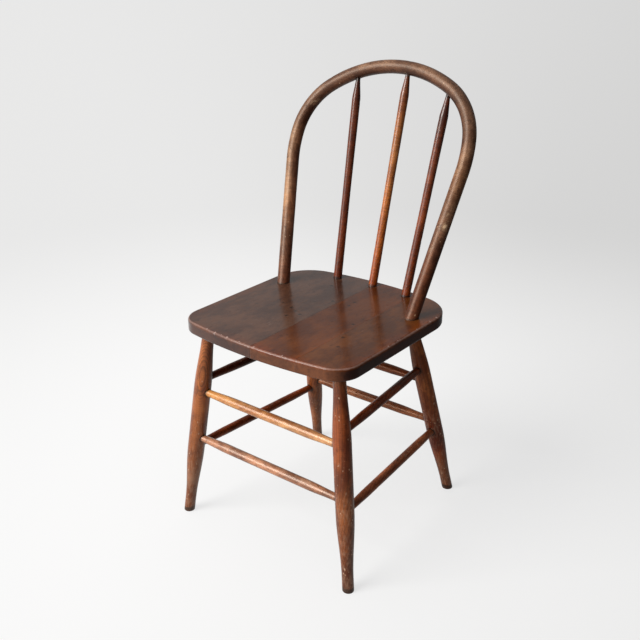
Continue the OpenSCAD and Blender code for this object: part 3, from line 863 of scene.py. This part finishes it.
class Graph:
    """Short calls for building the shader nodes of a material or a world."""

    def __init__(self, owner):
        owner.use_nodes = True
        self.tree = owner.node_tree
        self.tree.nodes.clear()

    def node(self, kind, inputs=(), **settings):
        """A new node. Each input is a value, or the output of another node."""
        made = self.tree.nodes.new("ShaderNode" + kind)
        for key, value in settings.items():
            setattr(made, key, value)
        for key, value in dict(inputs).items():
            if isinstance(value, bpy.types.NodeSocket):
                self.tree.links.new(value, made.inputs[key])
            else:
                made.inputs[key].default_value = value
        return made

    def math(self, operation, a, b=0.0, clamp=False):
        return self.node("Math", {0: a, 1: b}, operation=operation, use_clamp=clamp).outputs[0]

    def times(self, a, b):
        return self.math("MULTIPLY", a, b)

    def swing(self, noise, width):
        """A noise's swing to either side of 0."""
        return self.times(self.math("SUBTRACT", noise, 0.5), width)

    def total(self, *terms, clamp=False):
        """The sum of several values, held between 0 and 1 if clamp is set."""
        result = terms[0]
        for term in terms[1:]:
            result = self.math("ADD", result, term, clamp=clamp)
        return result

    def attribute(self, name, output="Fac"):
        return self.node("Attribute", attribute_name=name).outputs[output]

    def vector(self, operation, *inputs):
        return self.node("VectorMath", dict(enumerate(inputs)), operation=operation)

    def stretch(self, vector, scale, shift):
        return self.vector("MULTIPLY_ADD", vector, scale, (shift, shift, shift)).outputs[0]

    def noise(self, place, pattern, seed, output="Fac"):
        """A pattern's noise, at a place in the wood."""
        place = self.stretch(place, pattern.fineness, seed + pattern.shift)
        levels = {"Vector": place, "Scale": 1.0, "Detail": pattern.detail, "Roughness": pattern.roughness}
        return self.node("TexNoise", levels).outputs[output]

    def ramp(self, value, low, high, start=0.0, stop=1.0):
        """A smooth change from start at low to stop at high."""
        levels = {"Value": value, "From Min": low, "From Max": high, "To Min": start, "To Max": stop}
        return self.node("MapRange", levels, interpolation_type="SMOOTHSTEP").outputs[0]

    def mix(self, factor, a, b, blend="MIX"):
        made = self.node("Mix", {"Factor": factor}, data_type="RGBA", blend_type=blend)
        for socket, value in ((made.inputs[6], a), (made.inputs[7], b)):
            if isinstance(value, bpy.types.NodeSocket):
                self.tree.links.new(value, socket)
            else:
                socket.default_value = (*value, 1.0)
        return made.outputs[2]


@dataclass(frozen=True)
class Look:
    """What one piece of old varnished wood looks like. Colours are linear."""

    thick: tuple  # the colour where the varnish lies thick
    thin: tuple  # the colour where it has worn thin
    seed: float = 0.0
    ring: float = 0.45  # how dark the growth rings are
    ring_width: float = 0.0050
    pith: tuple = (0.050, 0.018)  # where the pith lies, across the grain
    bow: float = 0.8  # how strongly the rings close into ovals
    bow_at: float = 0.30  # where along the piece they do
    streak: float = 0.45  # how dark the streaks along the grain are
    mottle: float = 0.45  # how uneven the varnish is
    lathe: float = 0.18  # how strong the fine lines round the piece are
    blot: float = 0.45  # how dark the stains are
    speck: float = 0.12  # how many small pale chips there are
    rub: float = 0.55  # how pale the rubbed places are
    edge: float = 0.0  # how pale the exposed edges are: edge wear, and on the seat a painted highlight along the arris
    bare: tuple = (0.42, 0.26, 0.17)  # the colour of wood without varnish
    roughness: float = 0.34
    shine: float = 0.55
    bump: float = 0.6
    coat: float = 0.0
    coat_roughness: float = 0.14


@dataclass(frozen=True)
class Pattern:
    """A noise in the wood, which counts for nothing at its first limit and fully at its second."""

    fineness: tuple  # features to the metre, twice across the grain and once along it
    shift: float  # keeps it apart from a piece's other patterns
    detail: float
    roughness: float = 0.5
    limits: tuple = (0.0, 1.0)


CLOUD = Pattern((26, 26, 13), 8.9, 4.0, 0.60, (0.36, 0.64))
MOTTLE = Pattern((120, 120, 55), 2.2, 5.0, 0.72, (0.30, 0.70))
FIBRE = Pattern((270, 270, 9), 1.7, 3.0, 0.60, (0.46, 0.70))
THREAD = Pattern((800, 800, 26), 5.3, 3.0, 0.60, (0.48, 0.72))
TOOL_LINES = Pattern((30, 30, 420), 9.4, 3.0, 0.70, (0.42, 0.66))
BLOTS = Pattern((140, 140, 80), 4.8, 5.0, 0.70, (0.56, 0.68))
SCUFFS = Pattern((230, 230, 75), 6.6, 5.0, 0.72, (0.62, 0.82))
FRAY = Pattern((160, 160, 160), 7.1, 4.0, 0.70)
CRUMBS = Pattern((300, 300, 300), 7.7, 3.0)
SWELL = Pattern((150, 150, 90), 0.0, 2.0)
RING_DRIFT = Pattern((9, 9, 5), 3.1, 1.5)
CHIP_WANDER = Pattern((500, 500, 400), 0.0, 2.0)

VARNISH_TINT = (1.0, 0.76, 0.58, 1.0)
# The dark of dirt, and of painted shade in the joints.
DIRT_AND_SHADE = (0.012, 0.008, 0.006)
DIRT_AND_SHADE_W, DARKEST_DIRT_AND_SHADE, CRUMB_W = 0.004, 0.80, 0.005
RING_DARKNESS = 0.20
RING_BEND = (0.005, 0.005, 0.0)
LATE_WOOD, RING_END = (0.35, 0.92), (0.92, 1.0)
MOTTLE_GAIN = 3.0
SPECK_SIZE, SPECK_SHIFT = 0.0036, 4.4
SPECK_BEND = (0.0018, 0.0018, 0.003)
SPECK_PALENESS = 1.3
BARE_SCUFFS = 0.30
FULLY_BARE = (0.80, 0.97)
# The width of the seat's pale edge: edge wear with a painted highlight.
WORN_EDGE_AND_HIGHLIGHT_W, FRAY_W, EDGE_COAT_W = 0.0026, 0.004, 0.004
MATT = 0.20
GLOSS_SPAN = (-0.07, 0.09)
BUMP_DEPTH = 0.00014
FIBRE_BUMP, CHIP_BUMP, STREAK_BUMP = 0.5, -0.8, -0.2


def ring_lines(g, grain, look):
    """Late wood of the growth rings, from 0 to 1, round a pith that lies outside the piece."""
    drift = g.noise(grain, RING_DRIFT, look.seed, "Color")
    bent = g.vector("MULTIPLY_ADD", drift, RING_BEND, grain).outputs[0]
    pith = tuple(-p for p in look.pith)
    from_pith = g.vector("MULTIPLY_ADD", bent, (1, 1, 0), (*pith, 0)).outputs[0]
    distance = g.vector("LENGTH", from_pith).outputs["Value"]
    along = g.node("SeparateXYZ", {0: grain}).outputs["Z"]
    past = g.math("SUBTRACT", along, look.bow_at)
    bow = g.times(g.times(past, past), look.bow)
    layer = g.math("FRACT", g.math("DIVIDE", g.total(distance, bow), look.ring_width))
    return g.math("SUBTRACT", g.ramp(layer, *LATE_WOOD), g.ramp(layer, *RING_END))


def specks(g, grain, seed, share, bare_place):
    """Small separate chips, from 0 to 1. More of them lie where the wood is rubbed bare."""
    wander = g.noise(grain, CHIP_WANDER, seed, "Color")
    place = g.vector("MULTIPLY_ADD", wander, SPECK_BEND, grain).outputs[0]
    cells = g.stretch(place, (1 / SPECK_SIZE, 1 / SPECK_SIZE, 0.6 / SPECK_SIZE), seed)
    cell = g.node("TexVoronoi", {"Vector": cells, "Scale": 1.0})
    chance = g.node("SeparateColor", {0: cell.outputs["Color"]}).outputs
    chosen = g.ramp(g.total(chance[0], g.times(bare_place, 0.12)), 1.0 - share, 1.06 - share)
    reach = g.times(chance[1], 0.22)
    near = g.ramp(g.math("SUBTRACT", cell.outputs["Distance"], reach), 0.08, 0.22, 0.75, 0.0)
    return g.times(chosen, near)


def wood(name, look):
    """Old varnished wood. Its pattern is fixed in the piece by the grain attribute."""
    material = bpy.data.materials.new(name)
    g = Graph(material)
    seed = look.seed
    grain = g.attribute("grain", "Vector")
    bare_place = g.attribute("bare")

    # Varnish, thick or worn thin, over wood with rings, streaks and pores.
    cloud = g.noise(grain, CLOUD, seed)
    mottle = g.noise(grain, MOTTLE, seed)
    fibre = g.noise(grain, FIBRE, seed)
    thread = g.noise(grain, THREAD, seed)
    unevenness = g.swing(mottle, look.mottle * MOTTLE_GAIN)
    worn_thin = g.total(g.ramp(cloud, *CLOUD.limits), unevenness, clamp=True)
    colour = g.mix(worn_thin, look.thick, look.thin)
    streaks = g.total(g.ramp(fibre, *FIBRE.limits), g.ramp(thread, *THREAD.limits))
    lines = g.times(ring_lines(g, grain, look), look.ring)
    dark = g.total(lines, g.times(streaks, look.streak * 0.5), clamp=True)
    ring_colour = tuple(c * RING_DARKNESS for c in look.thick)
    colour = g.mix(dark, colour, ring_colour)
    tool = g.noise(grain, TOOL_LINES, seed)
    colour = g.mix(g.ramp(tool, *TOOL_LINES.limits, 0.0, look.lathe), colour, ring_colour)
    # The tint also carries painted shade and light, as noted where it is made.
    colour = g.mix(1.0, colour, g.attribute("tint", "Color"), "MULTIPLY")

    # Stains, then rubbed places, worn edges and chips that show paler, drier wood. The seat's pale worn
    # edge is also a painted highlight along its arris.
    blot = g.ramp(g.noise(grain, BLOTS, seed), *BLOTS.limits, 0.0, look.blot)
    colour = g.mix(blot, colour, ring_colour)
    scuff = g.total(g.times(bare_place, BARE_SCUFFS), g.noise(grain, SCUFFS, seed))
    rub = g.ramp(scuff, *SCUFFS.limits, 0.0, look.rub)
    rub = g.math("MAXIMUM", rub, g.ramp(bare_place, *FULLY_BARE))
    colour = g.mix(rub, colour, look.bare)
    from_edge = g.total(g.attribute("arris"), g.swing(g.noise(grain, FRAY, seed), FRAY_W))
    worn_edge_and_highlight = g.ramp(from_edge, 0.0, WORN_EDGE_AND_HIGHLIGHT_W, look.edge, 0.0)
    colour = g.mix(worn_edge_and_highlight, colour, look.bare)
    chipped = g.total(bare_place, g.times(worn_edge_and_highlight, 0.5))
    chip = specks(g, grain, seed + SPECK_SHIFT, look.speck, chipped)
    colour = g.mix(chip, colour, tuple(c * SPECK_PALENESS for c in look.bare))

    # Dirt round the feet and in dark spots, and dirt with painted shade in the joints.
    depth = g.total(g.attribute("nook"), g.swing(g.noise(grain, CRUMBS, seed), CRUMB_W))
    dirt_and_shade = g.ramp(depth, 0.0, DIRT_AND_SHADE_W, DARKEST_DIRT_AND_SHADE, 0.0)
    colour = g.mix(dirt_and_shade, colour, DIRT_AND_SHADE)

    # Worn places and those darkened by dirt and painted shade are rougher, and polished edges smoother.
    matt = g.times(g.total(rub, chip, dirt_and_shade, blot), MATT)
    smoothest, roughest = (look.roughness + r for r in GLOSS_SPAN)
    roughness = g.total(g.ramp(mottle, *MOTTLE.limits, smoothest, roughest), matt, clamp=True)
    roughness = g.math("SUBTRACT", roughness, g.times(worn_edge_and_highlight, 0.5), clamp=True)
    raised = (g.noise(grain, SWELL, seed), g.times(fibre, FIBRE_BUMP), g.times(tool, look.lathe))
    sunk = (g.times(chip, CHIP_BUMP), g.times(streaks, STREAK_BUMP))
    height = g.total(*raised, *sunk)
    bump = g.node("Bump", {"Height": height, "Strength": look.bump, "Distance": BUMP_DEPTH}).outputs[0]

    coat = look.coat
    if look.edge > 0:
        coat = g.ramp(g.attribute("arris"), 0.0, EDGE_COAT_W, 0.5 * look.coat, look.coat)
    surface = {
        "Base Color": colour,
        "Roughness": roughness,
        "Normal": bump,
        "Specular IOR Level": look.shine,
        "Specular Tint": VARNISH_TINT,
        "Coat Weight": coat,
        "Coat Roughness": look.coat_roughness,
    }
    shader = g.node("BsdfPrincipled", surface)
    g.node("OutputMaterial", {"Surface": shader.outputs[0]})
    return material


# ---- The look of each piece ----

# The boards' pale edge, in their bare colour, is edge wear and a painted highlight along the arris.
BOARD = Look(
    thick=(0.070, 0.026, 0.012), thin=(0.135, 0.052, 0.024), bare=(0.42, 0.28, 0.24),
    ring=0.05, ring_width=0.012, pith=(0.02, -0.15), bow=0.0, streak=0.08, mottle=0.70,
    lathe=0.0, blot=0.30, speck=-0.06, rub=0.12, edge=0.42,
    roughness=0.40, shine=0.05, coat=0.68, coat_roughness=0.16,
)
LEG = Look(
    thick=(0.16, 0.034, 0.009), thin=(0.40, 0.115, 0.030),
    ring=0.30, streak=0.30, speck=0.05, rub=0.30,
    shine=0.45, coat=0.25, coat_roughness=0.25,
)
FRONT_STRETCHER = Look(
    thick=(0.36, 0.130, 0.045), thin=(0.78, 0.40, 0.170),
    ring=0.20, streak=0.25, blot=0.35, speck=0.01,
    roughness=0.30, bump=0.1, coat=0.50, coat_roughness=0.30,
)
STRETCHER = Look(
    thick=(0.10, 0.016, 0.003), thin=(0.29, 0.052, 0.010),
    ring=0.30, streak=0.30, speck=0.01,
    roughness=0.30, shine=0.28,
)
SPINDLE = Look(
    thick=(0.09, 0.016, 0.005), thin=(0.23, 0.052, 0.016),
    ring=0.30, streak=0.30, lathe=0.40, speck=0.0, rub=0.15,
    roughness=0.30, shine=0.12, bump=0.3, coat=0.60, coat_roughness=0.18,
)
HOOP = Look(
    thick=(0.11, 0.042, 0.020), thin=(0.30, 0.155, 0.088), bare=(0.50, 0.33, 0.20),
    ring=0.25, streak=0.35, mottle=0.75, lathe=0.30, blot=0.65, speck=0.04, rub=0.35,
    roughness=0.42, shine=0.40, coat=0.12, coat_roughness=0.30,
)
LOOKS = {
    "seat_board_left": replace(
        BOARD, seed=11, thick=(0.054, 0.021, 0.012), thin=(0.098, 0.041, 0.022), coat=0.88
    ),
    "seat_board_middle": replace(BOARD, seed=23, thick=(0.074, 0.017, 0.003), thin=(0.124, 0.032, 0.006)),
    "seat_board_right": replace(BOARD, seed=37, thick=(0.070, 0.018, 0.003), thin=(0.128, 0.038, 0.008)),
    "leg_front_left": replace(
        LEG, seed=41, pith=(-0.022, 0.045), bow=4.0, bow_at=0.335, ring_width=0.0032, ring=0.55
    ),
    "leg_front_right": replace(LEG, seed=48, speck=0.07),
    "leg_back_left": replace(LEG, seed=55, shine=0.3, coat=0.1),
    "leg_back_right": replace(LEG, seed=62, shine=0.3, coat=0.1),
    "stretcher_front_upper": replace(FRONT_STRETCHER, seed=71),
    "stretcher_front_lower": replace(
        FRONT_STRETCHER, seed=76, thick=(0.18, 0.062, 0.029), thin=(0.62, 0.27, 0.14), blot=0.80, rub=0.45
    ),
    "stretcher_back_upper": replace(
        STRETCHER, seed=81, thick=(0.11, 0.024, 0.008), thin=(0.29, 0.072, 0.024)
    ),
    "stretcher_back_lower": replace(
        STRETCHER, seed=86, thick=(0.16, 0.044, 0.016), thin=(0.38, 0.13, 0.055)
    ),
    "stretcher_left_upper": replace(
        STRETCHER, seed=91, thick=(0.05, 0.008, 0.003), thin=(0.14, 0.024, 0.006)
    ),
    "stretcher_left_lower": replace(STRETCHER, seed=96),
    "stretcher_right_upper": replace(STRETCHER, seed=101),
    "stretcher_right_lower": replace(
        STRETCHER, seed=106, thick=(0.17, 0.040, 0.014), thin=(0.46, 0.130, 0.045)
    ),
    "back_hoop": replace(HOOP, seed=137),
    "spindle_left": replace(SPINDLE, seed=117),
    "spindle_middle": replace(
        SPINDLE, seed=122, thick=(0.24, 0.050, 0.006), thin=(0.48, 0.140, 0.024),
        coat=1.0, coat_roughness=0.25,
    ),
    "spindle_right": replace(SPINDLE, seed=127, speck=0.04, rub=0.30, coat=0.85),
}

# Each kind of straight rod, how it is built and its first seed.
RODS = (("leg", build_leg, 10.0), ("stretcher", build_stretcher, 20.0), ("spindle", build_spindle, 30.0))
build_seat()
for kind, build, first_seed in RODS:
    for index, node in enumerate(sorted(named(kind))):
        build(node, first_seed + index)
build_hoop("back_hoop", 40.0)


# ---- Floor, light and camera ----

FLOOR_SIZE = 60.0
LIGHT_AZIMUTH, LIGHT_ELEVATION = -28.0, 32.0
SUN_ANGLE, SUN_STRENGTH = 38.0, 3.3
CAMERA_AZIMUTH, CAMERA_ELEVATION, CAMERA_DISTANCE = 37.87, 23.20, 1.714
CAMERA_LENS, TARGET_BELOW_SEAT = 49.17, 0.0184

# The ways that the floor and the room get brighter, as azimuth and elevation.
PALE_WAY = (LIGHT_AZIMUTH - 30, 0)
FILL_WAY, WALL_WAY, WINDOW_WAY = (LIGHT_AZIMUTH - 20, 25), (-140, 20), (LIGHT_AZIMUTH, 6)
# Levels change from one place to another along such a way, and from one value to another.
NEAR_PALE = (-0.9, 0.6, 0.85, 1.00)
FAR_PALE = (-0.45, 0.45, 0.70, 0.85)
FLOOR_SHINE = (-1.2, 1.1, 0.08, 1.0)
ROOM_FILL = (-0.7, 0.9, 0.09, 0.66)
WALL_SHINE = (0.2, 0.9, 0.09, 0.40)
WINDOW_SHINE = (0.87, 0.97, 0.0, 3.2)
# The light that the floor throws back, from its dark side to its bright side.
BOUNCE_SPAN = (-1.2, 0.8)
FLOOR_BOUNCE = ((0.11, 0.105, 0.10), (0.56, 0.55, 0.54))
FLOOR_COLOUR = (0.86, 0.86, 0.86)
# The floor near the chair gives way to the distant floor between these distances.
NEAR, WIDE = 0.4, 2.4
FLOOR_GLOW = 0.72
SUN_COLOUR = (1.0, 0.985, 0.96)


def aim(thing, position, target):
    """Puts a lamp or camera at a position, pointing at a target."""
    thing.location = position
    thing.rotation_euler = (Vector(target) - Vector(position)).to_track_quat("-Z", "Y").to_euler()


def facing(g, place, way):
    """How far a place lies, or a direction points, along a way."""
    return g.vector("DOT_PRODUCT", place, tuple(towards(*way))).outputs["Value"]


def far_pale(g, direction):
    """How pale the far room is in a direction. Floor and background share it, to soften their edge."""
    return g.ramp(facing(g, direction, PALE_WAY), *FAR_PALE)


def pale_floor():
    """A pale floor. Most of what the camera sees of it is its own glow, and varnish mirrors only that."""
    material = bpy.data.materials.new("floor_pale")
    g = Graph(material)
    path = g.node("LightPath").outputs
    seen = path["Is Camera Ray"]
    place = g.node("TexCoord").outputs["Object"]
    side = facing(g, place, PALE_WAY)
    bounce = g.mix(g.ramp(side, *BOUNCE_SPAN), *FLOOR_BOUNCE)
    lit = g.node("BsdfDiffuse", {"Color": g.mix(seen, bounce, FLOOR_COLOUR)}).outputs[0]
    away = g.ramp(g.vector("LENGTH", place).outputs["Value"], NEAR, WIDE)
    near_pale = g.ramp(side, *NEAR_PALE)
    distant = g.math("SUBTRACT", far_pale(g, g.vector("NORMALIZE", place).outputs[0]), 1.0 - FLOOR_GLOW)
    distant = g.math("DIVIDE", distant, FLOOR_GLOW)
    level = g.mix(path["Is Glossy Ray"], g.mix(away, near_pale, distant), g.ramp(side, *FLOOR_SHINE))
    glow = g.node("Emission", {"Color": level, "Strength": 1.0}).outputs[0]
    share = g.math("MAXIMUM", g.times(seen, FLOOR_GLOW), path["Is Glossy Ray"])
    mixed = g.node("MixShader", {0: share, 1: lit, 2: glow}).outputs[0]
    g.node("OutputMaterial", {"Surface": mixed})
    mesh = bpy.data.meshes.new("floor")
    h = FLOOR_SIZE
    mesh.from_pydata([(-h, -h, 0), (h, -h, 0), (h, h, 0), (-h, h, 0)], [], [(0, 1, 2, 3)])
    mesh.materials.append(material)
    add("floor", mesh)


def soft_world():
    """A pale room, brighter on the side that the light comes from."""
    world = bpy.data.worlds.new("studio")
    g = Graph(world)
    direction = g.node("TexCoord").outputs["Generated"]
    path = g.node("LightPath").outputs
    shiny = g.math("MAXIMUM", path["Is Glossy Ray"], path["Is Transmission Ray"])
    fill = g.ramp(facing(g, direction, FILL_WAY), *ROOM_FILL)
    wall = g.ramp(facing(g, direction, WALL_WAY), *WALL_SHINE)
    window = g.ramp(facing(g, direction, WINDOW_WAY), *WINDOW_SHINE)
    level = g.math("MAXIMUM", fill, g.times(shiny, g.math("MAXIMUM", wall, window)))
    level = g.mix(path["Is Camera Ray"], level, far_pale(g, direction))
    background = g.node("Background", {"Color": (1.0, 1.0, 1.0, 1.0), "Strength": level}).outputs[0]
    g.node("OutputWorld", {"Surface": background})
    bpy.context.scene.world = world


def window_light():
    """A broad sun, for the soft light of a window."""
    lamp = bpy.data.lights.new("window", "SUN")
    lamp.energy = SUN_STRENGTH
    lamp.angle = math.radians(SUN_ANGLE)
    lamp.color = SUN_COLOUR
    aim(add("window", lamp), towards(LIGHT_AZIMUTH, LIGHT_ELEVATION), (0, 0, 0))


def photo_camera():
    """The camera, placed so that its view matches the photo's."""
    lens = bpy.data.cameras.new("camera")
    lens.lens = CAMERA_LENS
    thing = add("camera", lens)
    target = Vector((*SEAT_MIDDLE[:2], SEAT_H - TARGET_BELOW_SEAT))
    aim(thing, target + towards(CAMERA_AZIMUTH, CAMERA_ELEVATION) * CAMERA_DISTANCE, target)
    bpy.context.scene.camera = thing


pale_floor()
soft_world()
window_light()
photo_camera()
bpy.context.scene.view_settings.view_transform = "Standard"
